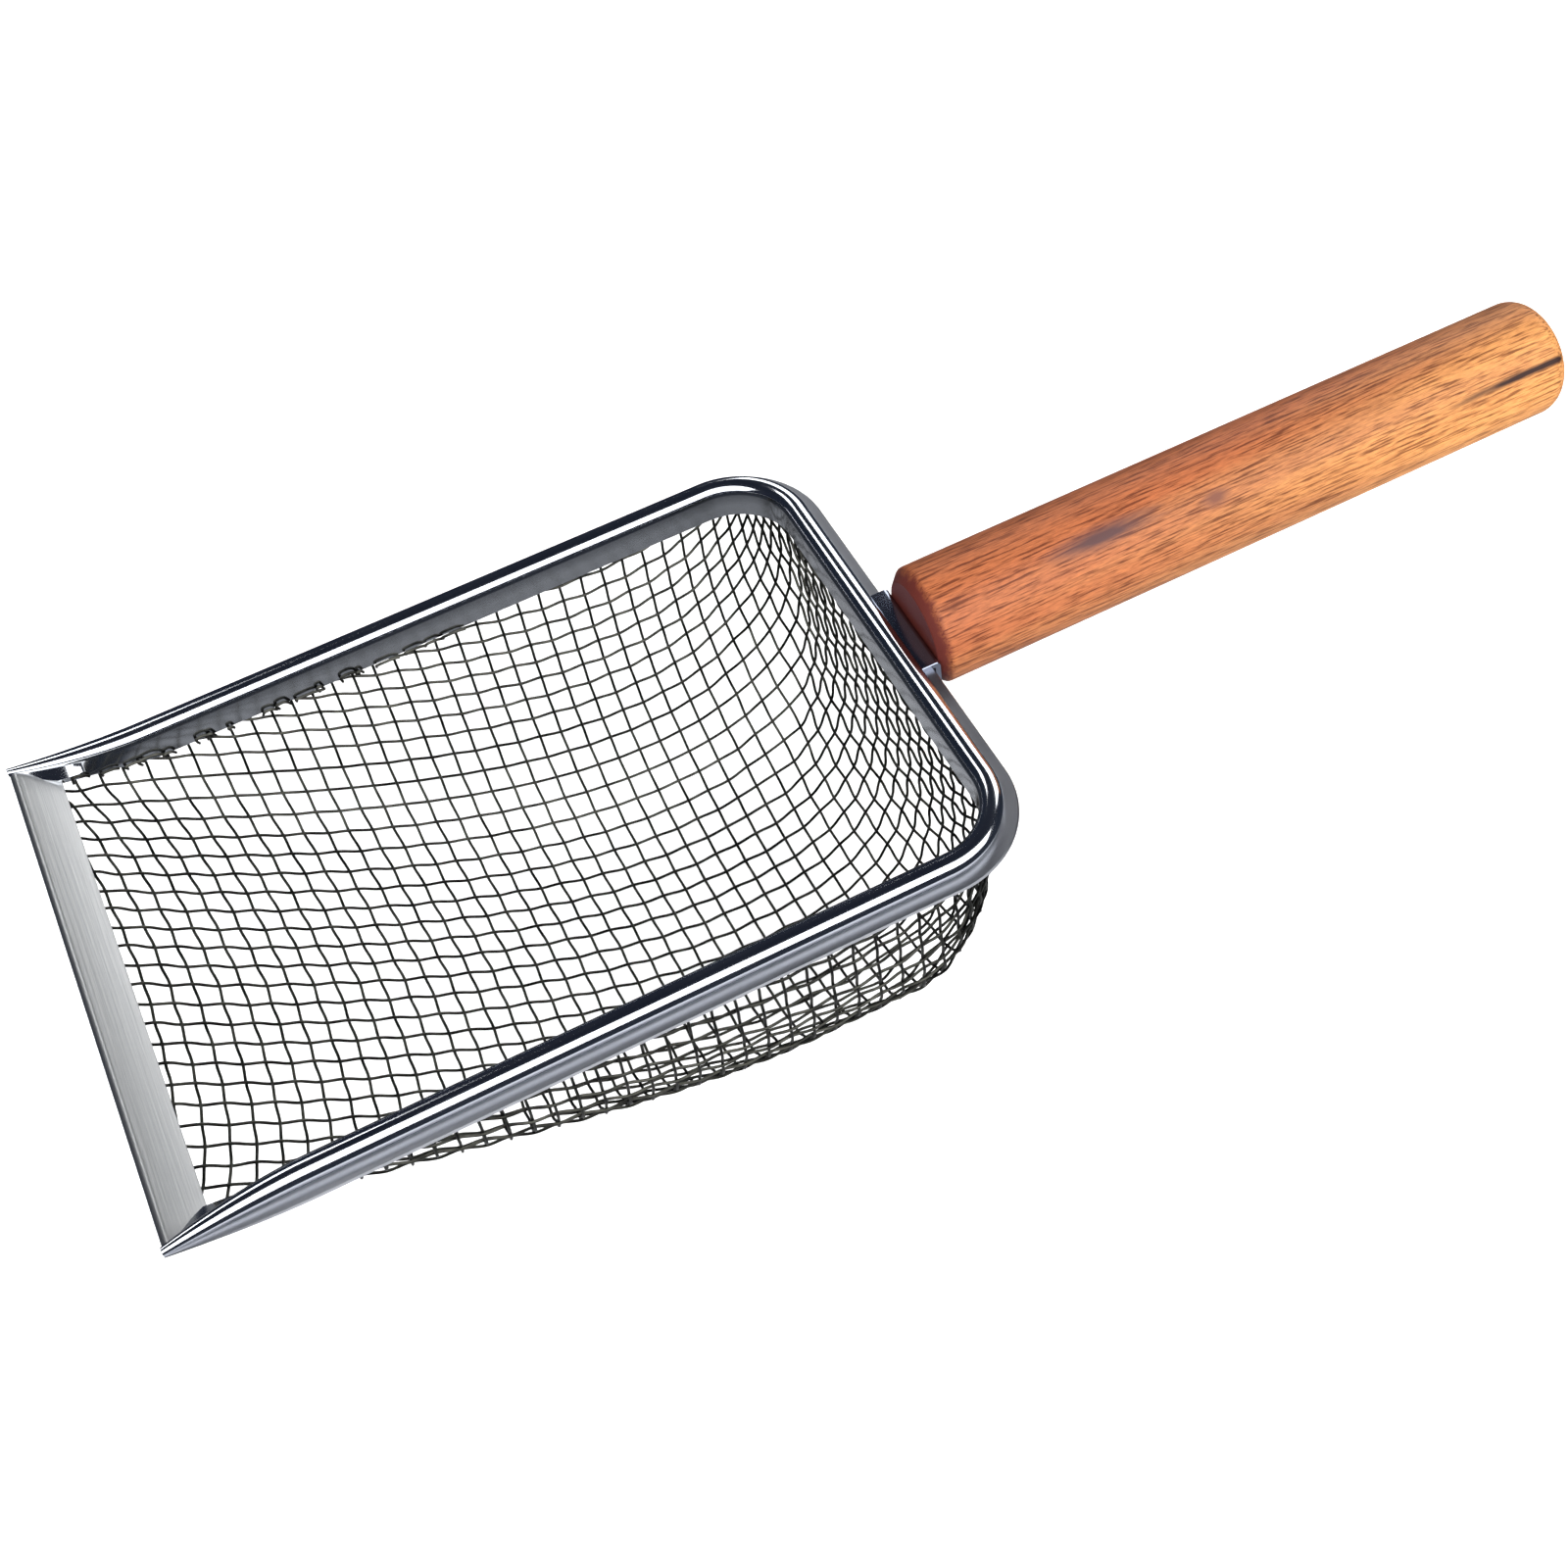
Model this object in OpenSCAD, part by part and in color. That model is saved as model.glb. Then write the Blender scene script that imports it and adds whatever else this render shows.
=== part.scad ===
// Hand sand scoop: a pressed basket of woven wire cloth in a rolled sheet
// rim, a folded lip plate across its open front, and a round wooden handle
// screwed to an angle bracket behind it. Millimetres, +Z up, +X to the handle.

/* [Rim] */
// From the front tips to the middle of the bead across the back
rim_len = 170.5; // [120:0.5:240]
// Between the middles of the two side beads
rim_w = 112; // [80:0.5:160]
// Corner radius along the middle of the bead
corner_r = 15.5; // [12:0.5:26]
// Width of the rolled bead
bead_d = 4.8; // [4.6:0.1:7]
// Thickness of the rim sheet
sheet_t = 0.8; // [0.5:0.1:1]
// How far the outer flange reaches from the middle of the bead
flange_reach = 5.2; // [4.4:0.1:8]
// How deep the inner skirt hangs below the middle of the bead
skirt_depth = 6; // [4:0.5:10]
// Length over which each front end of the rim is pinched to a tip
tip_len = 28; // [22:1:40]
// How far a tip spreads outwards
tip_spread = 3.5; // [0:0.1:4.5]
// How far a tip rises
tip_rise = 1.2; // [0:0.1:2]

/* [Lip plate] */
// Depth of the folded lip plate, front to rear
lip_w = 8.5; // [7:0.1:14]
// Slope of the lip plate, in degrees
lip_slope = 22; // [10:1:26]
// Thickness of each leaf of the fold
lip_t = 0.7; // [0.5:0.1:1]
// How far the cloth reaches into the fold
cloth_grip = 3; // [2:0.5:5]

/* [Wire basket] */
// Depth of the basket below the middle of the bead, to the wires' middle
basket_depth = 68; // [50:0.5:85]
// Thickness of one wire; the woven cloth is two wires thick
wire_d = 0.7; // [0.5:0.1:1]
// Level run of the floor in front of the back wall
floor_back = 45; // [30:1:55]
// Roundness of the front ramp: 1 is straight, more is rounder
ramp_curve = 1.6; // [1.3:0.05:2.2]
// Squareness of the walls: 2 is elliptical, more is squarer
wall_curve = 3.2; // [2.4:0.1:4.5]

/* [Handle] */
// Diameter of the handle
handle_d = 25.4; // [22:0.1:34]
// Length of the handle
handle_len = 152; // [90:1:240]
// How far the handle's axis lies below the middle of the bead
handle_drop = 2; // [0:0.5:4]
// Chamfer at the end by the rim
handle_chamfer = 2; // [0.5:0.5:3]
// Rounding at the free end
handle_round = 4.5; // [2:0.5:8]

/* [Bracket and screws] */
// Width of the angle bracket
bracket_w = 23; // [18:0.5:24]
// Thickness of the bracket sheet
bracket_t = 1.2; // [0.8:0.1:1.6]
// Gap between the flange and the handle, which the bracket's leg fills
handle_gap = 1.6; // [1.6:0.1:4]
// Length of the leg that hangs against the handle
bracket_leg = 13; // [12:0.5:14]
// Distance between the two wood screws
screw_span = 11; // [9:0.5:13]
// Thickness of a screw
screw_d = 3.8; // [3:0.1:4.2]
// Length of a screw under its head
screw_len = 30; // [20:1:40]
// Width of a screw's head
screw_head_d = 7; // [5.5:0.1:7.5]
// Height of a screw's head
screw_head_h = 2.2; // [1.6:0.1:2.4]
// Clearance of a screw in the bracket
screw_clear = 0.15; // [0.05:0.05:0.4]

/* [Hidden] */
$fn = 64;
tiny = 0.01;

// rim section
bead_r = bead_d/2;
core_r = bead_r - sheet_t;
side_y = rim_w/2;
arc_x = rim_len - corner_r;
arc_y = side_y - corner_r;

// tip
tip_r = sheet_t;
seam = 0.04;
arc_steps = 10;
tip_curve = 1.8;
tip_y = side_y + tip_spread;
skirt_y = side_y - bead_r;

// woven cloth, a shell on a curved middle surface
cloth_t = 2*wire_d;
cloth_in = core_r - cloth_t/2;
cloth_y = side_y - cloth_in;
cloth_x = rim_len - cloth_in;
cloth_r = corner_r - cloth_in;
cloth_top = core_r + 0.1;
cloth_x0 = lip_w - cloth_grip;
pole_x = cloth_x - floor_back;
fold_r = cloth_t/2 + lip_t;
lip_drop = (lip_w - fold_r)*tan(lip_slope);
wall_join = 8;

front_n = 3;
side_n = 16;
run_n = 3;
arc_n = 7;
back_n = 5;
wall_n = 12;

// handle and bracket
flange_x = rim_len + flange_reach;
handle_x = flange_x + handle_gap;
handle_z = -handle_drop;
tab_z = sheet_t - bead_r + bracket_t;
screw_z = tab_z - bracket_leg/2 - 1;

// the origin is under the middle of the whole part, level with its lowest wires
middle_x = (handle_x + handle_len)/2;
lift = basket_depth + cloth_t/2;

module placed() { translate([-middle_x, 0, lift]) children(); }
module both_sides() { children(); mirror([0, 1, 0]) children(); }

// ---- rim -------------------------------------------------------------------

// Section of the rim, x outwards: skirt, bead rolled over the top, flange
module rim_section() {
    difference() {
        union() {
            circle(bead_r);
            translate([-bead_r, -bead_r]) square([bead_d, bead_r]);
        }
        circle(core_r);
        translate([-core_r, -bead_d]) square([2*core_r, bead_d]);
    }
    translate([-bead_r, -skirt_depth]) square([sheet_t, skirt_depth]);
    translate([core_r, -bead_r]) square([flange_reach - core_r, sheet_t]);
}

// Carries a section round the rim: two sides, two corners and the back
module round_the_rim(from_x) {
    both_sides() {
        translate([from_x, side_y, 0]) rotate([90, 0, 90])
            linear_extrude(arc_x - from_x) children();
        translate([arc_x, arc_y, 0])
            rotate_extrude(angle = 90) translate([corner_r, 0]) children();
    }
    translate([rim_len, arc_y, 0]) rotate([90, 0, 0])
        linear_extrude(2*arc_y) children();
}

// Outline of the rim's section where it is pinched, at x from the tip: inside
// of the skirt, over the bead, round the flange and back under the bead
function blend(a, b, t) = a + (b - a)*t;
function tip_outline(x) =
    let(f = 1 - pow(1 - x/tip_len, tip_curve), fold = min(1, x/lip_w),
        y = side_y + tip_spread*(1 - f), z = tip_rise*(1 - f),
        outer = blend(tip_r, bead_r, f) - seam,
        inner = blend(tip_r/4, core_r, f) + seam,
        leg_in = blend(tip_y - tip_r, skirt_y, fold) + seam,
        leg_out = leg_in + blend(tip_r/2, sheet_t, fold) - 2*seam,
        foot = x < lip_w ? blend(tip_rise - tip_r, -skirt_at(lip_w), fold)
             : -skirt_at(x) + seam,
        bend = (foot + z)/2,
        reach = blend(1.2*tip_r, flange_reach, f) - seam,
        top = blend(tip_rise - tip_r/2, sheet_t - bead_r, f) - seam,
        under = blend(tip_rise - tip_r, -bead_r, f) + seam)
    concat([[x, leg_in, foot], [x, leg_in, bend]],
           [for (i = [0:arc_steps]) let(a = 180*(1 - i/arc_steps))
               [x, y + outer*cos(a), z + outer*sin(a)]],
           [[x, y + outer, top], [x, y + reach, top],
            [x, y + reach, under], [x, y + inner, under]],
           [for (i = [0:arc_steps]) let(a = 180*i/arc_steps)
               [x, y + inner*cos(a), z + inner*sin(a)]],
           [[x, leg_out, bend], [x, leg_out, foot]]);

// Pinched front end: the section shrinks from full size to the tip
module rim_tip() {
    rings = [0, lip_w/2, lip_w, (lip_w + tip_len)/2, tip_len];
    n = len(tip_outline(0));
    m = len(rings);
    polyhedron(
        points = [for (x = rings) for (p = tip_outline(x)) p],
        faces = concat(
            [for (i = [0:n/2 - 2]) for (t = [[i, n - 2 - i, i + 1], [i, n - 1 - i, n - 2 - i]]) t],
            [for (k = [0:m - 2]) for (i = [0:n - 1])
                let(j = (i + 1)%n, a = k*n + i, b = k*n + j)
                for (t = [[a, b, b + n], [a, b + n, a + n]]) t],
            [for (i = [0:n/2 - 2]) let(e = (m - 1)*n)
                for (t = [[i, i + 1, n - 2 - i], [i, n - 2 - i, n - 1 - i]])
                    [t[0] + e, t[1] + e, t[2] + e]]));
}

module rim_channel() {
    color("silver") placed() {
        round_the_rim(tip_len) rim_section();
        both_sides() rim_tip();
    }
}

module rim_core_wire() {
    color("gray") placed() round_the_rim(tip_len) circle(core_r);
}

// ---- lip plate -------------------------------------------------------------

// One strip folded over the front edge of the cloth, welded to the rim's tips
module lip_plate() {
    leaf = lip_w/cos(lip_slope) - fold_r;
    color("lightgray") placed() difference() {
        intersection() {
            translate([fold_r, 0, 0]) rotate([0, lip_slope, 0]) {
                rotate([90, 0, 0]) difference() {
                    cylinder(h = 2*tip_y, r = fold_r, center = true);
                    cylinder(h = 3*tip_y, r = cloth_t/2, center = true);
                    translate([0, -fold_r, -2*tip_y]) cube([fold_r, 2*fold_r, 4*tip_y]);
                }
                for (z = [cloth_t/2, -fold_r])
                    translate([0, -tip_y, z]) cube([leaf, 2*tip_y, lip_t]);
            }
            // the ends follow the skirts' fold lines out to the tips
            translate([0, 0, -lip_w]) linear_extrude(2*lip_w)
                polygon([[-fold_r, -tip_y], [lip_w + fold_r, -skirt_y],
                         [lip_w + fold_r, skirt_y], [-fold_r, tip_y]]);
        }
        both_sides() rim_tip();
    }
}

// ---- wire basket -----------------------------------------------------------

// Depth of the floor along the middle of the basket
function floor_depth(x) =
    x <= lip_w ? (x - fold_r)*tan(lip_slope)
    : lip_drop + (basket_depth - lip_drop)
        *(1 - pow(1 - min(1, (x - lip_w)/(pole_x - lip_w)), ramp_curve));

// Depth of the skirt, which the wall leaves at its foot, and of the cloth's edge
function skirt_at(x) = skirt_depth*min(1, x/tip_len);
function edge_at(x) =
    let(lap = skirt_at(x)/2)
    lap + (cloth_top - lap)*min(1, max(0, (x - tip_len)/wall_join));

// Where the wall starts to turn in: at the skirt's foot, but by the lip plate the
// cloth lies flat from side to side
function leave_at(x, depth) =
    let(flat = max(0, min(1, 1 - (x - lip_w)/wall_join)))
    min(blend(skirt_at(x), depth, flat), depth - tiny);

// A station on the rim: place, outward direction and foot on the floor's middle
left_x = concat([cloth_x0],
    [for (i = [0:front_n - 1]) lip_w + (tip_len - lip_w)*i/front_n],
    [for (i = [front_n + 1:side_n])
        tip_len + (pole_x - tip_len)*(i - front_n - 1)/(side_n - front_n - 1)]);
left_side = [for (x = left_x) [x, cloth_y, 0, 1, x]];
left_run = [for (i = [1:run_n])
    let(x = pole_x + (arc_x - pole_x)*i/run_n) [x, cloth_y, 0, 1, pole_x]];
left_arc = [for (i = [1:arc_n]) let(a = 90*i/arc_n)
    [arc_x + cloth_r*sin(a), arc_y + cloth_r*cos(a), sin(a), cos(a), pole_x]];
left_back = [for (i = [1:back_n])
    [cloth_x, arc_y*(1 - i/back_n), 1, 0, pole_x]];
half = concat(left_side, left_run, left_arc, left_back);
half_n = len(half);
stations = concat(half, [for (i = [half_n - 2:-1:0])
    let(s = half[i]) [s[0], -s[1], s[2], -s[3], s[4]]]);
station_n = len(stations);

// Point on a station's wall curve, off the middle surface by a given amount:
// level 0 is the cloth's edge, level 1 leaves the skirt, the last is the floor
function wall_point(s, level, off) =
    let(depth = floor_depth(s[4]) + off,
        leave = leave_at(s[0], depth),
        px = s[0] + off*s[2], py = s[1] + off*s[3],
        a = 90*max(0, level - 1)/(wall_n - 1),
        c = level == wall_n ? 0 : pow(cos(a), 2/wall_curve),
        d = pow(sin(a), 2/wall_curve))
    level == 0 ? [px, py, -min(edge_at(s[0]), leave - 5*tiny)]
    : [s[4] + (px - s[4])*c, py*c, -leave - (depth - leave)*d];

// Points of one face of the cloth: the walls, then the floor's middle line
function sheet_points(off) = concat(
    [for (s = stations) for (j = [0:wall_n - 1]) wall_point(s, j, off)],
    [for (i = [0:side_n]) wall_point(stations[i], wall_n, off)]);
sheet_n = station_n*wall_n + side_n + 1;

function sheet_index(i, j) =
    j < wall_n ? i*wall_n + j
    : station_n*wall_n + min(side_n, i, station_n - 1 - i);

// Triangles of one face, leaving out those that close up at the fan's foot
function sheet_faces(base, flip) =
    [for (i = [0:station_n - 2]) for (j = [0:wall_n - 1])
        let(a = base + sheet_index(i, j), b = base + sheet_index(i + 1, j),
            c = base + sheet_index(i + 1, j + 1), d = base + sheet_index(i, j + 1))
        for (t = c == d ? [[a, b, c]] : [[a, b, c], [a, c, d]])
            flip ? [t[2], t[1], t[0]] : t];

// The open edge runs along the rim, then back across the lip
rim_edge = [for (i = [0:station_n - 1]) sheet_index(i, 0)];
lip_edge = concat([for (j = [1:wall_n]) sheet_index(station_n - 1, j)],
                  [for (j = [wall_n - 1:-1:1]) sheet_index(0, j)]);
open_edge = concat(rim_edge, lip_edge);
edge_faces = [for (k = [0:len(open_edge) - 1])
    let(a = open_edge[k], b = open_edge[(k + 1)%len(open_edge)])
    for (t = [[a, a + sheet_n, b + sheet_n], [a, b + sheet_n, b]]) t];

module mesh_basket() {
    color("dimgray") placed() difference() {
        polyhedron(
            points = concat(sheet_points(cloth_t/2), sheet_points(-cloth_t/2)),
            faces = concat(sheet_faces(0, true), sheet_faces(sheet_n, false),
                           [for (t = edge_faces) [t[2], t[1], t[0]]]));
        // corners cut away beside the folded lip plate
        both_sides() translate([-1, skirt_y - sheet_t/2, -2*lip_w])
            cube([lip_w + 2, 2*sheet_t + cloth_t, 2*lip_w]);
    }
}

// ---- handle ----------------------------------------------------------------

module at_screws() {
    for (y = [-screw_span/2, screw_span/2])
        translate([handle_x, y, screw_z]) rotate([0, 90, 0]) children();
}

// Angle bracket: a tab lying on the flange and a leg against the handle
module handle_bracket() {
    tab_x = rim_len + bead_r;
    color("lightslategray") placed() difference() {
        union() {
            translate([tab_x, -bracket_w/2, tab_z - bracket_t])
                cube([handle_x - tab_x - bracket_t, bracket_w, bracket_t]);
            translate([handle_x - bracket_t, -bracket_w/2, tab_z - bracket_leg])
                cube([bracket_t, bracket_w, bracket_leg - bracket_t]);
            translate([handle_x - bracket_t, 0, tab_z - bracket_t])
                rotate([90, 0, 0]) intersection() {
                    cylinder(h = bracket_w, r = bracket_t, center = true);
                    translate([0, 0, -bracket_w]) cube(2*bracket_w);
                }
        }
        at_screws() cylinder(h = 4*bracket_t, r = screw_d/2 + screw_clear, center = true);
    }
}

module handle_screws() {
    color("slategray") placed() at_screws() {
        translate([0, 0, -bracket_t]) cylinder(h = screw_len, r = screw_d/2);
        translate([0, 0, screw_len - bracket_t])
            cylinder(h = screw_d, r1 = screw_d/2, r2 = 0);
        difference() {
            translate([0, 0, -bracket_t - screw_head_h])
                cylinder(h = screw_head_h, r1 = screw_head_d/2 - screw_head_h/3,
                         r2 = screw_head_d/2);
            // cross recess
            for (a = [0, 90]) rotate([0, 0, a])
                translate([0, 0, -bracket_t - screw_head_h])
                    cube([screw_head_d/2, screw_d/5, screw_head_h], center = true);
        }
    }
}

module handle() {
    r = handle_d/2;
    color("peru") placed() difference() {
        translate([handle_x, 0, handle_z]) rotate([0, 90, 0])
            rotate_extrude($fn = 96) {
                difference() {
                    square([r, handle_len]);
                    polygon([[r + 1, -1], [r + 1, handle_chamfer + 1],
                             [r, handle_chamfer], [r - handle_chamfer, 0],
                             [r - handle_chamfer - 1, -1]]);
                    translate([r - handle_round, handle_len - handle_round])
                        square(2*handle_round);
                }
                translate([r - handle_round, handle_len - handle_round])
                    intersection() {
                        circle(handle_round);
                        square(2*handle_round);
                    }
            }
        // holes that the screws cut for themselves
        at_screws() {
            cylinder(h = screw_len - bracket_t, r = screw_d/2);
            translate([0, 0, screw_len - bracket_t])
                cylinder(h = screw_d, r1 = screw_d/2, r2 = 0);
        }
    }
}

mesh_basket();
rim_channel();
rim_core_wire();
lip_plate();
handle_bracket();
handle_screws();
handle();
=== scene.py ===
import math
import bpy
import numpy as np
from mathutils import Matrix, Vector
from mathutils.bvhtree import BVHTree


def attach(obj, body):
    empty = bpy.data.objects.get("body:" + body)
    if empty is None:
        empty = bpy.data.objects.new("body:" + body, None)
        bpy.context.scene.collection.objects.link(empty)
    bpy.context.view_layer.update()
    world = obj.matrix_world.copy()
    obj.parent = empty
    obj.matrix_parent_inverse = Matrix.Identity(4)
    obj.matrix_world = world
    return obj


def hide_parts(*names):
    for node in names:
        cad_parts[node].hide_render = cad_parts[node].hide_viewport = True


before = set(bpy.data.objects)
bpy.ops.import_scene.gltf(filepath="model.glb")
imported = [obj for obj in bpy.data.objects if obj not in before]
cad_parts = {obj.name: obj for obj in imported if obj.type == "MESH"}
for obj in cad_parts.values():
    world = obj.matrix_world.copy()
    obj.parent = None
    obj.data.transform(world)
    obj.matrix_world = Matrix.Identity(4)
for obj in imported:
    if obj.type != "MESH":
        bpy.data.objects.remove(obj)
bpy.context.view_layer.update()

# ---- Woven wire basket ----
# One piece of square-mesh stainless cloth, five wires to the inch, pressed to shape.
# Both sets of wires keep their spacing, so the mesh shears into diamonds on the corners.
# Sizes are in millimetres, x from the rim's front tips and z from the bead's middle.
pitch = 5.08
wire_r = 0.32
crimp = 0.85 * wire_r
rim_len = 170.5
side_y = 56
corner_r = 15.5
arc_x = rim_len - corner_r
arc_y = side_y - corner_r
inset = 0.9
cloth_x = rim_len - inset
cloth_y = side_y - inset
cloth_r = corner_r - inset
skirt_deep = 6
skirt_y = 53.6
tip_len = 28
lip_w = 8.5
lip_lean = math.radians(22)
fold_r = 1.4
deep = 68
pole_x = cloth_x - 45
slope = math.tan(lip_lean)
lip_drop = (lip_w - fold_r) * slope
front_end = -20
wall_top = 70


def floor_depth(x):
    run = np.clip((x - lip_w) / (pole_x - lip_w), 0, 1)
    ramp_down = lip_drop + (deep - lip_drop) * (1 - (1 - run) ** 1.6)
    return np.where(x <= lip_w, (x - fold_r) * slope, ramp_down)


def wall_curve(px, py, foot, square=3.2):
    """From the floor's middle line out to the rim and straight on above it."""
    depth = float(floor_depth(foot))
    skirt = skirt_deep * min(1, max(0, px) / tip_len)
    flat = min(1, max(0, 1 - (px - lip_w) / 8))
    leave = min(skirt + flat * (depth - skirt), depth - 0.05)
    a = np.radians(np.linspace(90, 0, 60))
    c = np.cos(a) ** (2 / square)
    c[0] = 0
    d = np.sin(a) ** (2 / square)
    curve = np.column_stack([foot + (px - foot) * c, py * c, -leave - (depth - leave) * d])
    top = [[px, py, z] for z in np.linspace(-leave, wall_top, 24)[1:]]
    return np.vstack([curve, top])


curves = [wall_curve(x, cloth_y, x) for x in np.linspace(front_end, pole_x, 96)]
curves += [wall_curve(x, cloth_y, pole_x) for x in np.linspace(pole_x, arc_x, 12)[1:]]
curves += [wall_curve(arc_x + cloth_r * math.sin(a), arc_y + cloth_r * math.cos(a), pole_x,
                      3.2 - 0.5 * math.sin(2 * a)) for a in np.radians(np.linspace(0, 90, 19)[1:])]
curves += [wall_curve(cloth_x, y, pole_x) for y in np.linspace(arc_y, 0, 20)[1:]]
across = len(curves[0])
form_faces = [(k * across + i, (k + 1) * across + i, (k + 1) * across + i + 1, k * across + i + 1)
              for k in range(len(curves) - 1) for i in range(across - 1)]
form = BVHTree.FromPolygons([Vector(p) for curve in curves for p in curve], form_faces)


def on_form(p):
    return np.array(form.find_nearest(Vector(p))[0])


def points_along(curve, spacing, count):
    s = np.concatenate([[0], np.cumsum(np.linalg.norm(np.diff(curve, axis=0), axis=1))])
    return np.column_stack([np.interp(np.arange(count) * spacing, s, curve[:, a]) for a in range(3)])


# The cloth is laid down crossing by crossing: each new one keeps its spacing from the
# two before it. It starts from the middle line and from the floor's deepest cross wire.
columns = 28
first_row = points_along(wall_curve(pole_x, cloth_y, pole_x), pitch, columns)
front_x = np.linspace(pole_x, front_end, 700)
front_middle = points_along(np.column_stack([front_x, 0 * front_x, -floor_depth(front_x)]), pitch, 33)
back_middle = points_along(curves[-1], pitch, 27)


def lay_rows(middle):
    rows = [first_row]
    for start in middle[1:]:
        row = [start]
        before = rows[-1]
        for j in range(1, columns):
            a, b = row[-1], before[j]
            p = on_form(a + b - before[j - 1])
            for step in range(14):
                for q in (a, b):
                    gap = p - q
                    p = q + gap * (0.5 + 0.5 * pitch / max(np.linalg.norm(gap), 0.1))
                p = on_form(p)
            row.append(p)
        rows.append(np.array(row))
    return rows


front_rows = lay_rows(front_middle)
back_rows = lay_rows(back_middle)
net = np.array(front_rows[:0:-1] + back_rows)
kept = net[:, :, 2] < 18


def along(axis, start, stop):
    """Slice of the net between two crossings along one set of wires."""
    part = [slice(None), slice(None)]
    part[axis] = slice(start, stop)
    return tuple(part)


# Then every wire is drawn evenly to its own spacing and eased, as the press does.
for step in range(160):
    move = np.zeros_like(net)
    count = np.zeros(net.shape[:2] + (1,))
    ease = np.zeros_like(net)
    weight = np.zeros(net.shape[:2] + (1,))
    for axis in (0, 1):
        lower, upper = along(axis, 0, -1), along(axis, 1, None)
        both = (kept[lower] & kept[upper])[..., None]
        gap = net[upper] - net[lower]
        length = np.linalg.norm(gap, axis=2, keepdims=True)
        pull = np.where(both, gap * (1 - pitch / np.maximum(length, 0.1)) / 2, 0)
        move[lower] += pull
        move[upper] -= pull
        count[lower] += both
        count[upper] += both
        before, middle, after = along(axis, 0, -2), along(axis, 1, -1), along(axis, 2, None)
        three = (kept[before] & kept[middle] & kept[after])[..., None]
        ease[middle] += np.where(three, (net[before] + net[after]) / 2 - net[middle], 0)
        weight[middle] += three
    net += 0.8 * move / np.maximum(count / 2, 1) + 0.12 * ease / np.maximum(weight, 1)
    net[:, 0, 1] = 0
    for i, j in zip(*np.nonzero(kept)):
        net[i, j] = on_form(net[i, j])

# which way is out of the basket at each crossing
normals = np.zeros_like(net)
for i, j in zip(*np.nonzero(kept)):
    normals[i, j] = form.find_nearest(Vector(net[i, j]))[1]
outward = normals[:, :, 0] * (net[:, :, 0] - 100) + normals[:, :, 1] * net[:, :, 1] - 60 * normals[:, :, 2]
normals[outward > 0] *= -1

# the near half is mirrored to the far side
net = np.concatenate([net[:, :0:-1] * [1, -1, 1], net], axis=1)
normals = np.concatenate([normals[:, :0:-1] * [1, -1, 1], normals], axis=1)
kept = np.concatenate([kept[:, :0:-1], kept], axis=1)


def woven(points, normal, over, steps=6):
    """Curve through one wire's crossings, rising over one and dipping under the next."""
    n = len(points)
    t = np.linspace(0, n - 1, (n - 1) * steps + 1)
    k = np.clip(t.astype(int), 0, n - 2)
    f = (t - k)[:, None]
    ends = np.vstack([2 * points[0] - points[1], points, 2 * points[-1] - points[-2]])
    a, b, c, d = ends[k], ends[k + 1], ends[k + 2], ends[k + 3]
    curve = 0.5 * (2 * b + (c - a) * f + (2 * a - 5 * b + 4 * c - d) * f ** 2
                   + (3 * b - a - 3 * c + d) * f ** 3)
    up = normal[k] * (1 - f) + normal[k + 1] * f
    up /= np.linalg.norm(up, axis=1, keepdims=True)
    return curve + up * np.cos(math.pi * t)[:, None] * over * crimp, up


def in_basket(p):
    """Behind the lip plate's fold and below the top of the bead's hollow."""
    edge = np.clip((p[:, 0] - tip_len) / 8, 0, 1)
    lap = 3 * np.clip(p[:, 0] / tip_len, 0, 1)
    return (p[:, 0] > lip_w - 2.8) & (p[:, 2] < -(lap + (1.5 - lap) * edge))


def runs_of(indices):
    """Unbroken runs in a rising list of indices."""
    return np.split(indices, np.nonzero(np.diff(indices) > 1)[0] + 1)


def cut_wires(lines):
    wires = []
    for points, normal, over in lines:
        curve, up = woven(points, normal, over)
        for run in runs_of(np.nonzero(in_basket(curve))[0]):
            if len(run) > 3:
                wires.append((curve[run], up[run]))
    return wires


def lines_of(grid, up, on_grid):
    for k in range(grid.shape[1]):
        for run in runs_of(np.nonzero(on_grid[:, k])[0]):
            if len(run) > 2:
                yield grid[run, k], up[run, k], 1 if (run[0] + k) % 2 else -1


lengthwise = list(lines_of(net, normals, kept))
crosswise = [(p, n, -over) for p, n, over in
             lines_of(net.transpose(1, 0, 2), normals.transpose(1, 0, 2), kept.T)]

# the trimmed edge of the cloth stands out in short hooked ends before the far skirt
chance = np.random.default_rng(11)
hooks = []
for x in np.arange(12, 96, 4.7) + chance.uniform(-1.6, 1.6, 18):
    foot = -skirt_deep * min(1, x / tip_len)
    tall = chance.uniform(0.3, 1.7)
    reach = chance.uniform(0.8, 6)
    lean_x = chance.uniform(-0.6, 0.9)
    knots = np.array([[x, 54.1, foot - 1.4], [x + 0.2 * lean_x, 53.3, foot - 0.3],
                      [x + 0.6 * lean_x, 52.95, foot + 0.7 * tall], [x + 0.3 * reach, 52.9, foot + tall],
                      [x + 0.7 * reach, 52.9, foot + 0.8 * tall], [x + reach, 53.1, foot - 0.2]])
    hook, up = woven(knots, np.tile([0.0, -1.0, 0.1], (6, 1)), 0, 5)
    hooks.append((hook, up))


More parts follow.
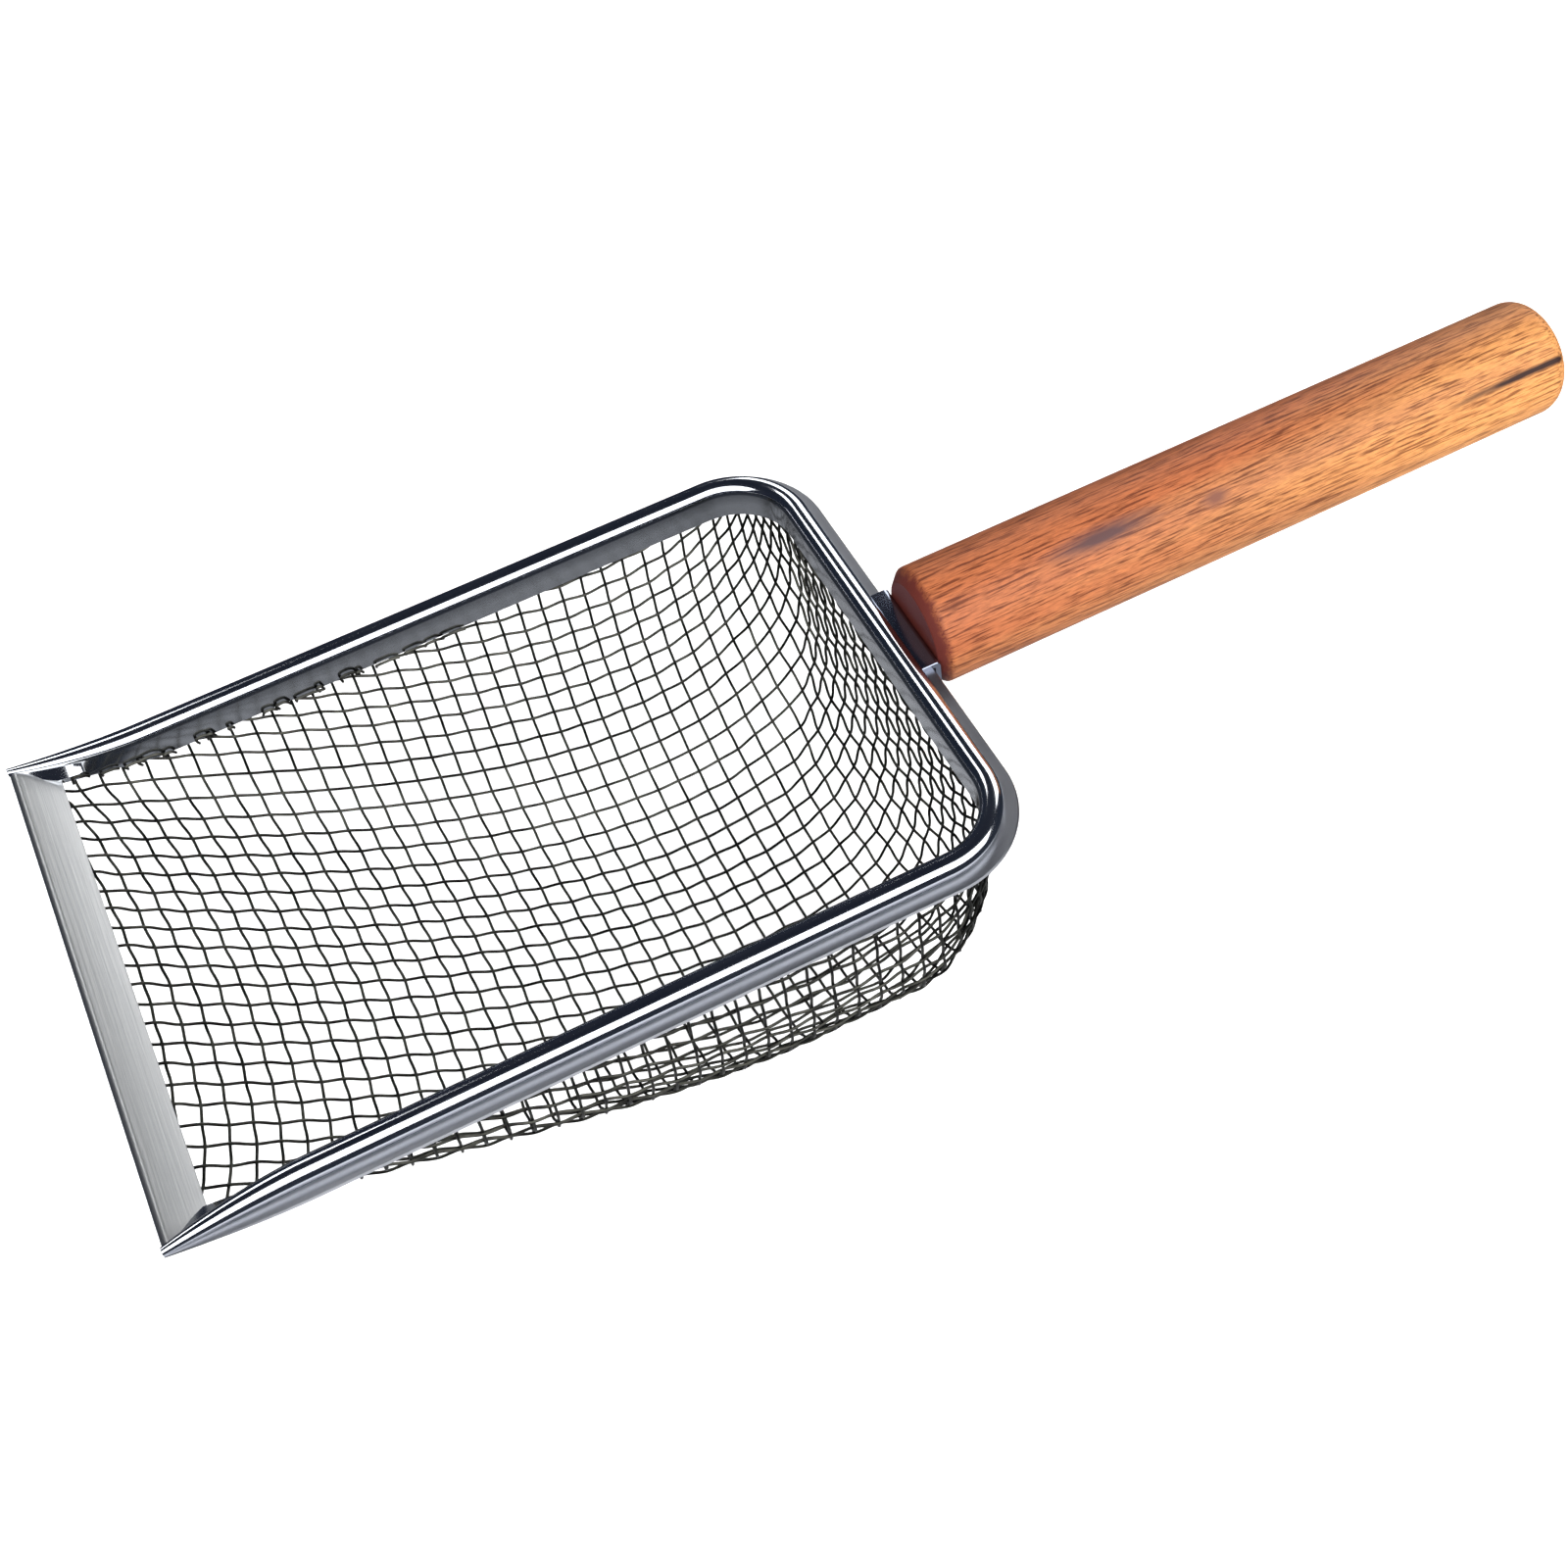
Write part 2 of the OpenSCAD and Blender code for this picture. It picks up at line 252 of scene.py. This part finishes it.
def skin(rings):
    """Faces between equal rings of points, each ring closed on itself, and both ends."""
    n = len(rings[0])
    last = (len(rings) - 1) * n
    faces = []
    for k in range(len(rings) - 1):
        for i in range(n):
            j = (i + 1) % n
            faces.append((k * n + i, k * n + j, (k + 1) * n + j, (k + 1) * n + i))
    faces.append(tuple(range(n - 1, -1, -1)))
    faces.append(tuple(last + i for i in range(n)))
    return np.concatenate(rings), faces


def tubes(wires, radius, sides=7):
    points, faces = [], []
    base = 0
    turn = np.linspace(0, 2 * math.pi, sides, endpoint=False)[None, :, None]
    for wire, up in wires:
        forward = np.gradient(wire, axis=0)
        side = np.cross(forward, up)
        side /= np.linalg.norm(side, axis=1, keepdims=True)
        lift = np.cross(side, forward)
        lift /= np.linalg.norm(lift, axis=1, keepdims=True)
        ring = wire[:, None] + radius * (np.cos(turn) * side[:, None] + np.sin(turn) * lift[:, None])
        tube_points, tube_faces = skin(list(ring))
        points.append(tube_points)
        faces += [tuple(base + i for i in face) for face in tube_faces]
        base += len(tube_points)
    return np.concatenate(points), faces


# where the front tips and the bead's middle lie in the part's frame
tips_at = np.array([-164.65, 0, 68.7])


def add_mesh(name, points, faces, smooth=40):
    mesh = bpy.data.meshes.new(name)
    moved = (np.asarray(points, float) + tips_at) / 1000
    mesh.from_pydata(moved.tolist(), [], faces)
    mesh.update()
    mesh.shade_smooth()
    mesh.set_sharp_from_angle(angle=math.radians(smooth))
    obj = bpy.data.objects.new(name, mesh)
    bpy.context.scene.collection.objects.link(obj)
    return obj


long_wires = add_mesh("lengthwise_wires", *tubes(cut_wires(lengthwise), wire_r))
cross_wires = add_mesh("crosswise_wires", *tubes(cut_wires(crosswise) + hooks, wire_r))


def new_material(name, metallic, roughness, colour):
    material = bpy.data.materials.new(name)
    material.use_nodes = True
    tree = material.node_tree
    shader = tree.nodes["Principled BSDF"]
    shader.inputs["Metallic"].default_value = metallic
    shader.inputs["Roughness"].default_value = roughness
    shader.inputs["Base Color"].default_value = (*colour, 1)
    return material, tree.nodes, tree.links, shader


def stretched_noise(nodes, links, scale, detail=4):
    """Noise drawn out along the part's axes, with more repeats where scale is larger."""
    place = nodes.new("ShaderNodeTexCoord")
    stretch = nodes.new("ShaderNodeMapping")
    stretch.inputs["Scale"].default_value = scale
    noise = nodes.new("ShaderNodeTexNoise")
    noise.inputs["Scale"].default_value = 1
    noise.inputs["Detail"].default_value = detail
    links.new(place.outputs["Object"], stretch.inputs["Vector"])
    links.new(stretch.outputs["Vector"], noise.inputs["Vector"])
    return noise


def ramp(nodes, links, value, stops):
    """Colours blended by a value, from (place, colour) pairs."""
    tone = nodes.new("ShaderNodeValToRGB")
    while len(tone.color_ramp.elements) < len(stops):
        tone.color_ramp.elements.new(0.5)
    for element, (place, colour) in zip(tone.color_ramp.elements, stops):
        element.position = place
        element.color = (*colour, 1)
    links.new(value, tone.inputs["Fac"])
    return tone.outputs["Color"]


wire_steel, nodes, links, shader = new_material("drawn_wire", 1, 0.42, (0.05, 0.05, 0.046))
dull = stretched_noise(nodes, links, (220, 220, 220), 3)
links.new(ramp(nodes, links, dull.outputs["Fac"],
               [(0.35, (0.02, 0.02, 0.018)), (0.65, (0.07, 0.07, 0.06))]), shader.inputs["Base Color"])
for wires in (long_wires, cross_wires):
    wires.data.materials.append(wire_steel)
    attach(wires, "root")
    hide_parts("mesh_basket")

# ---- Rim ----
# One strip of sheet rolled over a wire: a skirt inside, the bead on top and a narrow
# flange outside. Each front end is pinched to a tip that the lip plate runs into.
tip_y = 59.5
tip_rise = 1.2
sheet = 0.8
bead_r = 2.4
hollow_r = bead_r - sheet
flange_reach = 5.2


def between(tip, full, f):
    return tip + (full - tip) * f


def rim_section(x):
    """Points round the sheet, y from the bead's line: the pinch opens as x grows."""
    f = 1 - (1 - min(1.0, x / tip_len)) ** 1.8
    fold = min(1.0, x / lip_w)
    y0 = tip_y + (side_y - tip_y) * f
    z0 = tip_rise * (1 - f)
    outer = between(sheet, bead_r, f)
    inner = between(0.2, hollow_r, f)
    leg_in = tip_y - sheet - (tip_y - sheet - skirt_y) * fold
    leg_out = leg_in + 0.4 + 0.4 * fold
    foot = -skirt_deep * min(1.0, x / tip_len)
    if x < lip_w:
        foot = 0.4 - (0.4 + skirt_deep * lip_w / tip_len) * fold
    bend = (foot + z0) / 2
    reach = between(0.96, flange_reach, f)
    top = between(0.8, sheet - bead_r, f)
    under = between(0.4, -bead_r, f)
    r = 0.25 * f + 0.05
    tuck = math.degrees(math.asin((z0 - top) / outer)) - 3
    over = [(outer * math.cos(a), outer * math.sin(a)) for a in np.radians(np.linspace(180, -tuck, 23))]
    back = [(inner * math.cos(a), inner * math.sin(a)) for a in np.radians(np.linspace(0, 180, 13))]
    pts = [(leg_in + r / 2, foot), (leg_in, foot + r / 2), (leg_in, bend)]
    pts += [(y0 + u, z0 + w) for u, w in over]
    pts += [(y0 + over[-1][0] + 0.2 * r, top), (y0 + outer, top), (y0 + outer + 2 * r, top)]
    pts += [(y0 + reach - r, top), (y0 + reach, (top + under) / 2), (y0 + reach - r, under)]
    pts += [(y0 + inner + 2 * r, under), (y0 + inner, under + 2 * r)]
    pts += [(y0 + u, z0 + w) for u, w in back]
    pts += [(leg_out, bend), (leg_out, foot + r / 2), (leg_out - r / 2, foot)]
    return np.array([(y - side_y, z) for y, z in pts])


half = [(x, side_y, 0, 1) for x in np.concatenate([tip_len * np.linspace(0, 1, 22) ** 1.4,
                                                   np.linspace(tip_len, arc_x, 26)[1:]])]
half += [(arc_x + corner_r * math.sin(a), arc_y + corner_r * math.cos(a), math.sin(a), math.cos(a))
         for a in np.radians(np.linspace(0, 90, 31)[1:])]
half += [(rim_len, y, 1, 0) for y in np.linspace(arc_y, 0, 14)[1:]]
path = half + [(x, -y, nx, -ny) for x, y, nx, ny in half[-2::-1]]
rim_rings = []
for x, y, nx, ny in path:
    section = rim_section(x)
    rim_rings.append(np.column_stack([x + nx * section[:, 0], y + ny * section[:, 0], section[:, 1]]))
rim = add_mesh("rim", *skin(rim_rings))


def smeared_steel(name, colour, smoothest, dullest):
    """Polished sheet with finger smears that dull it here and there."""
    material, nodes, links, shader = new_material(name, 1, smoothest, colour)
    smears = stretched_noise(nodes, links, (75, 75, 75), 5)
    polish = nodes.new("ShaderNodeMapRange")
    polish.inputs["To Min"].default_value = smoothest
    polish.inputs["To Max"].default_value = dullest
    links.new(smears.outputs["Fac"], polish.inputs["Value"])
    links.new(polish.outputs["Result"], shader.inputs["Roughness"])
    return material


# rolling polishes the bead and skirt and leaves the flange duller; the flange is also given a darker copy of
# the sheet's colour, which is painted shade
rim.data.materials.append(smeared_steel("polished_rim", (0.62, 0.64, 0.68), 0.07, 0.18))
rim.data.materials.append(smeared_steel("flange_painted_shade_steel", (0.37, 0.38, 0.41), 0.32, 0.43))
section_points = len(rim_rings[0])
side_faces = section_points * (len(rim_rings) - 1)
for face in rim.data.polygons[:side_faces]:
    if 25 < face.index % section_points < 33:
        face.material_index = 1
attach(rim, "root")
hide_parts("rim_channel")

# ---- Wire inside the rim's bead ----
# Plain drawn wire that the sheet is rolled around. Only its ends could ever be seen.
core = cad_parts["rim_core_wire"]
core_steel, nodes, links, shader = new_material("core_wire", 1, 0.4, (0.35, 0.35, 0.35))
drawn = stretched_noise(nodes, links, (90, 900, 900))
links.new(ramp(nodes, links, drawn.outputs["Fac"],
               [(0.3, (0.24, 0.24, 0.24)), (0.7, (0.44, 0.44, 0.44))]), shader.inputs["Base Color"])
core.data.materials.clear()
core.data.materials.append(core_steel)

# ---- Lip plate ----
# A strip folded over the cloth's front edge. Its ends are mitred along the folds of the
# skirts and curve up into them.
lip_t = 0.7
mitre_y = 59.1
lip_end = 58.8
end_curl = 1.1


def lip_ring(y):
    room = (mitre_y - abs(y)) / (mitre_y - skirt_y) * lip_w
    leaf = (lip_w / math.cos(lip_lean) - fold_r) * min(1.0, max(0.03, room / lip_w))
    rise = end_curl * min(1.0, max(0.0, 1 - (mitre_y - abs(y)) / 8)) ** 2
    fold = [(fold_r * math.cos(a), fold_r * math.sin(a)) for a in np.radians(np.linspace(90, 270, 15))]
    hollow = [(lip_t * math.cos(a), lip_t * math.sin(a)) for a in np.radians(np.linspace(270, 90, 11))]
    upper, lower = fold_r - 0.1, lip_t + 0.1
    loop = [(leaf - 0.1, fold_r)] + fold
    loop += [(leaf - 0.1, -fold_r), (leaf, -upper), (leaf, -lower), (leaf - 0.1, -lip_t)]
    loop += hollow + [(leaf - 0.1, lip_t), (leaf, lower), (leaf, upper)]
    return np.array([(fold_r + s * math.cos(lip_lean) + n * math.sin(lip_lean), y,
                      -s * math.sin(lip_lean) + n * math.cos(lip_lean) + rise * max(0.0, s) / lip_w)
                     for s, n in loop])


lip_half = np.concatenate([np.linspace(0, 46, 24), np.linspace(46, lip_end, 33)[1:]])
lip_rings = [lip_ring(y) for y in np.concatenate([-lip_half[:0:-1], lip_half])]
lip = add_mesh("lip_plate_fold", *skin(lip_rings), smooth=35)

lip_steel, nodes, links, shader = new_material("satin_lip", 1, 0.4, (0.64, 0.65, 0.65))
brushed = stretched_noise(nodes, links, (2400, 40, 2400), 3)
bump = nodes.new("ShaderNodeBump")
bump.inputs["Strength"].default_value = 0.12
bump.inputs["Distance"].default_value = 0.0002
links.new(brushed.outputs["Fac"], bump.inputs["Height"])
links.new(bump.outputs["Normal"], shader.inputs["Normal"])
lip.data.materials.append(lip_steel)
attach(lip, "root")
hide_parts("lip_plate")

# ---- Angle bracket ----
# Bent from thin sheet: its tab lies on the rear flange and its leg stands against the
# handle's end, where two wood screws go through it.
handle_x = rim_len + flange_reach + 1.6
bracket_t = 1.2
bend_r = 0.3
leg = 13
tab_top = sheet - bead_r + bracket_t
tab_x = handle_x - 4.35
leg_in_x = handle_x - bracket_t
bend_out = [(leg_in_x + bracket_t * math.sin(a), tab_top - bracket_t + bracket_t * math.cos(a))
            for a in np.radians(np.linspace(0, 90, 9))]
bend_in = [(leg_in_x - bend_r + bend_r * math.cos(a), tab_top - bracket_t - bend_r + bend_r * math.sin(a))
           for a in np.radians(np.linspace(0, 90, 5))]
outside = [(tab_x, tab_top)] + bend_out + [(handle_x, tab_top - leg)]
inside = [(leg_in_x, tab_top - leg)] + bend_in + [(tab_x, tab_top - bracket_t)]
outline = np.array(outside + inside)
bracket_rings = []
for y, eased in [(-11.5, 0.15), (-11.35, 0), (-6, 0), (0, 0), (6, 0), (11.35, 0), (11.5, 0.15)]:
    ring = np.column_stack([outline[:, 0], np.full(len(outline), y), outline[:, 1]])
    ring[:len(outside), 2] -= eased * 0.7
    ring[:len(outside), 0] -= eased * 0.7
    bracket_rings.append(ring)
bracket = add_mesh("angle_bracket", *skin(bracket_rings), smooth=30)
bracket.data.materials.append(smeared_steel("bracket_steel", (0.32, 0.35, 0.44), 0.08, 0.26))
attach(bracket, "root")
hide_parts("handle_bracket")

# ---- Wood screws ----
# Two cross-recessed steel screws, driven through the bracket's leg into the end grain.
# Their heads sit under the rear flange, facing the basket.
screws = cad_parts["handle_screws"]
screws.data.materials.clear()
screws.data.materials.append(core_steel)

# ---- Handle ----
# A turned hardwood dowel, oiled: fine pores run along it, with a dark knot stain and a
# dark streak at the free end. The end by the rim is chamfered, the free end rounded.
handle_r = 12.7
handle_len = 152
end_round = 4.5
axis_z = -2
around = 96
profile = [(0, 0.01), (0, 5.0), (0, 10.2), (0.25, 10.62), (1.9, 12.35), (2.3, 12.62), (3.0, handle_r)]
profile += [(s, handle_r) for s in np.linspace(8, 144, 35)]
profile += [(handle_len - end_round + end_round * math.sin(a), handle_r - end_round + end_round * math.cos(a))
            for a in np.radians(np.linspace(0, 90, 13))]
profile += [(handle_len, 4.0), (handle_len, 0.01)]
turns = np.linspace(0, 2 * math.pi, around, endpoint=False)
handle_rings = []
for s, r in profile:
    handle_rings.append(np.column_stack([np.full(around, handle_x + s), r * np.cos(turns),
                                         axis_z + r * np.sin(turns)]))
handle = add_mesh("wood_handle", *skin(handle_rings), smooth=30)

wood, nodes, links, shader = new_material("oiled_wood", 0, 0.55, (0.6, 0.3, 0.13))
shader.inputs["Specular IOR Level"].default_value = 0.22


def mix(factor, a, b, blend="MIX"):
    node = nodes.new("ShaderNodeMix")
    node.data_type = "RGBA"
    node.blend_type = blend
    for socket, value in ((node.inputs["Factor"], factor), (node.inputs["A"], a), (node.inputs["B"], b)):
        if isinstance(value, (float, tuple)):
            socket.default_value = value
        else:
            links.new(value, socket)
    return node.outputs["Result"]


def patch(at, size, low, high):
    """1 inside an ellipsoid at a place on the handle, fading to 0 outside it."""
    place = nodes.new("ShaderNodeTexCoord")
    shift = nodes.new("ShaderNodeMapping")
    shift.vector_type = "TEXTURE"
    shift.inputs["Location"].default_value = [(a + b) / 1000 for a, b in zip(at, tips_at)]
    shift.inputs["Scale"].default_value = [s / 1000 for s in size]
    far = nodes.new("ShaderNodeVectorMath")
    far.operation = "LENGTH"
    rough = stretched_noise(nodes, links, (60, 500, 500), 4)
    wobble = nodes.new("ShaderNodeMath")
    wobble.operation = "MULTIPLY_ADD"
    wobble.inputs[1].default_value = 0.9
    fade = nodes.new("ShaderNodeMapRange")
    fade.inputs["From Min"].default_value = high + 0.45
    fade.inputs["From Max"].default_value = low + 0.45
    links.new(place.outputs["Object"], shift.inputs["Vector"])
    links.new(shift.outputs["Vector"], far.inputs[0])
    links.new(rough.outputs["Fac"], wobble.inputs[0])
    links.new(far.outputs["Value"], wobble.inputs[2])
    links.new(wobble.outputs["Value"], fade.inputs["Value"])
    return fade.outputs["Result"]


bands = stretched_noise(nodes, links, (9, 110, 110), 3)
pores = stretched_noise(nodes, links, (130, 2400, 2400), 4)
fleck = stretched_noise(nodes, links, (500, 4200, 4200), 2)

# painted shade and light: the wood is redder and darker on the upper side and by the rim, paler below and at
# the end, along fixed directions of the handle
place = nodes.new("ShaderNodeTexCoord")
turned = nodes.new("ShaderNodeMapping")
turned.vector_type = "POINT"
turned.inputs["Location"].default_value = (0.06, 0.5, -1.1)
turned.inputs["Scale"].default_value = (5.4, 26, 22)
painted_shade_side = nodes.new("ShaderNodeVectorMath")
painted_shade_side.operation = "DOT_PRODUCT"
painted_shade_side.inputs[1].default_value = (-1.0, 0.75, 0.75)
shade = nodes.new("ShaderNodeMath")
shade.operation = "MULTIPLY_ADD"
shade.inputs[1].default_value = 0.9
links.new(place.outputs["Object"], turned.inputs["Vector"])
links.new(turned.outputs["Vector"], painted_shade_side.inputs[0])
links.new(bands.outputs["Fac"], shade.inputs[0])
links.new(painted_shade_side.outputs["Value"], shade.inputs[2])
colour = ramp(nodes, links, shade.outputs["Value"],
              [(0.1, (0.4, 0.177, 0.053)), (0.45, (0.27, 0.105, 0.036)), (0.85, (0.25, 0.074, 0.026))])
streak = ramp(nodes, links, pores.outputs["Fac"], [(0.37, (0.27, 0.18, 0.13)), (0.51, (1, 1, 1))])
colour = mix(0.9, colour, streak, "MULTIPLY")
sparkle = ramp(nodes, links, fleck.outputs["Fac"],
               [(0.3, (0.7, 0.62, 0.55)), (0.5, (1, 1, 1)), (0.72, (1.3, 1.25, 1.15))])
colour = mix(0.8, colour, sparkle, "MULTIPLY")

# knot stain, small second knot, streak at the free end, and by the rim dark end grain with a painted shadow
# of the bracket and rim over it
colour = mix(patch((218, -6.6, 8.9), (12, 2.6, 2.6), 0.3, 1.25), colour, (0.06, 0.027, 0.026, 1))
colour = mix(patch((243, -8.5, 7.4), (3.2, 1.8, 1.8), 0.3, 1.3), colour, (0.12, 0.042, 0.024, 1))
colour = mix(patch((323, -10.3, 5.3), (28, 1.2, 1.2), 0.4, 1.0), colour, (0.02, 0.008, 0.006, 1))
# painted shadow, partly end grain: the end by the rim is darkened where the bracket and rim shade it
colour = mix(patch((handle_x, 0, axis_z), (2.6, 60, 60), 0.5, 1.1), colour, (0.08, 0.014, 0.01, 1))
links.new(colour, shader.inputs["Base Color"])
bump = nodes.new("ShaderNodeBump")
bump.inputs["Strength"].default_value = 0.25
bump.inputs["Distance"].default_value = 0.0002
links.new(pores.outputs["Fac"], bump.inputs["Height"])
links.new(bump.outputs["Normal"], shader.inputs["Normal"])
handle.data.materials.append(wood)
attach(handle, "root")
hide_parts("handle")

# ---- Floor, light and camera ----
# A plain white floor in a dim studio, with a broad fill from the near side and narrow
# soft boxes for the metal to reflect. Seen from above the near front corner.
bpy.ops.mesh.primitive_plane_add(size=3.6, location=(0, 0, -0.0005))
floor = bpy.context.object
floor.name = "floor"
floor.visible_glossy = False
paper, nodes, links, shader = new_material("white_paper", 0, 0.9, (0.93, 0.93, 0.93))
floor.data.materials.append(paper)

# a pale backdrop all round, which no light or reflection meets
bpy.ops.mesh.primitive_uv_sphere_add(radius=5.8, segments=64, ring_count=32)
backdrop = bpy.context.object
backdrop.name = "backdrop"
backdrop.visible_diffuse = False
backdrop.visible_glossy = False
backdrop.visible_transmission = False
backdrop.visible_shadow = False
pale, nodes, links, shader = new_material("pale_backdrop", 0, 1, (0, 0, 0))
shader.inputs["Emission Color"].default_value = (0.94, 0.94, 0.95, 1)
shader.inputs["Emission Strength"].default_value = 1
backdrop.data.materials.append(pale)

# dark walls and ceiling, and a pale ground for the undersides to reflect
world = bpy.data.worlds.new("studio")
bpy.context.scene.world = world
world.use_nodes = True
nodes = world.node_tree.nodes
links = world.node_tree.links
sky = nodes.new("ShaderNodeTexCoord")
height = nodes.new("ShaderNodeSeparateXYZ")
level = nodes.new("ShaderNodeMapRange")
level.inputs["From Min"].default_value = -1
links.new(sky.outputs["Generated"], height.inputs["Vector"])
links.new(height.outputs["Z"], level.inputs["Value"])
walls = ramp(nodes, links, level.outputs["Result"],
             [(0.1, (0.5, 0.51, 0.53)), (0.2, (0.04, 0.046, 0.06)), (0.55, (0.02, 0.026, 0.042)),
              (1.0, (0.014, 0.018, 0.03))])
links.new(walls, nodes["Background"].inputs["Color"])


def soft_box(name, azimuth, elevation, distance, width, height, power, reflected=True):
    """Area lamp facing the scoop, from an azimuth counted from the near side."""
    a, e = math.radians(azimuth), math.radians(elevation)
    direction = Vector((math.cos(e) * math.sin(a), -math.cos(e) * math.cos(a), math.sin(e)))
    data = bpy.data.lights.new(name, "AREA")
    data.shape = "RECTANGLE"
    data.size = width
    data.size_y = height
    data.energy = power
    lamp = bpy.data.objects.new(name, data)
    lamp.location = direction * distance
    lamp.rotation_euler = direction.to_track_quat("Z", "Y").to_euler()
    lamp.visible_glossy = reflected
    bpy.context.scene.collection.objects.link(lamp)


soft_box("near_fill", 0, 50, 1.8, 4.2, 2.6, 102, reflected=False)
soft_box("far_fill", 180, 35, 2.2, 2.5, 1.4, 16, reflected=False)
soft_box("near_strip", 0, 44, 1.6, 4.6, 1.4, 71)
soft_box("back_card", 130, 27, 2.0, 2.0, 1.0, 21)
soft_box("rear_strip", 203, 51, 2.0, 0.5, 0.5, 3)
bpy.context.scene.view_settings.view_transform = "Standard"

camera_data = bpy.data.cameras.new("camera")
camera_data.lens = 48.82
camera_data.sensor_width = 36
camera = bpy.data.objects.new("camera", camera_data)
camera.location = (-0.10203, -0.26007, 0.39638)
camera.rotation_euler = [math.radians(a) for a in (36.659, 6.350, -25.801)]
bpy.context.scene.collection.objects.link(camera)
bpy.context.scene.camera = camera
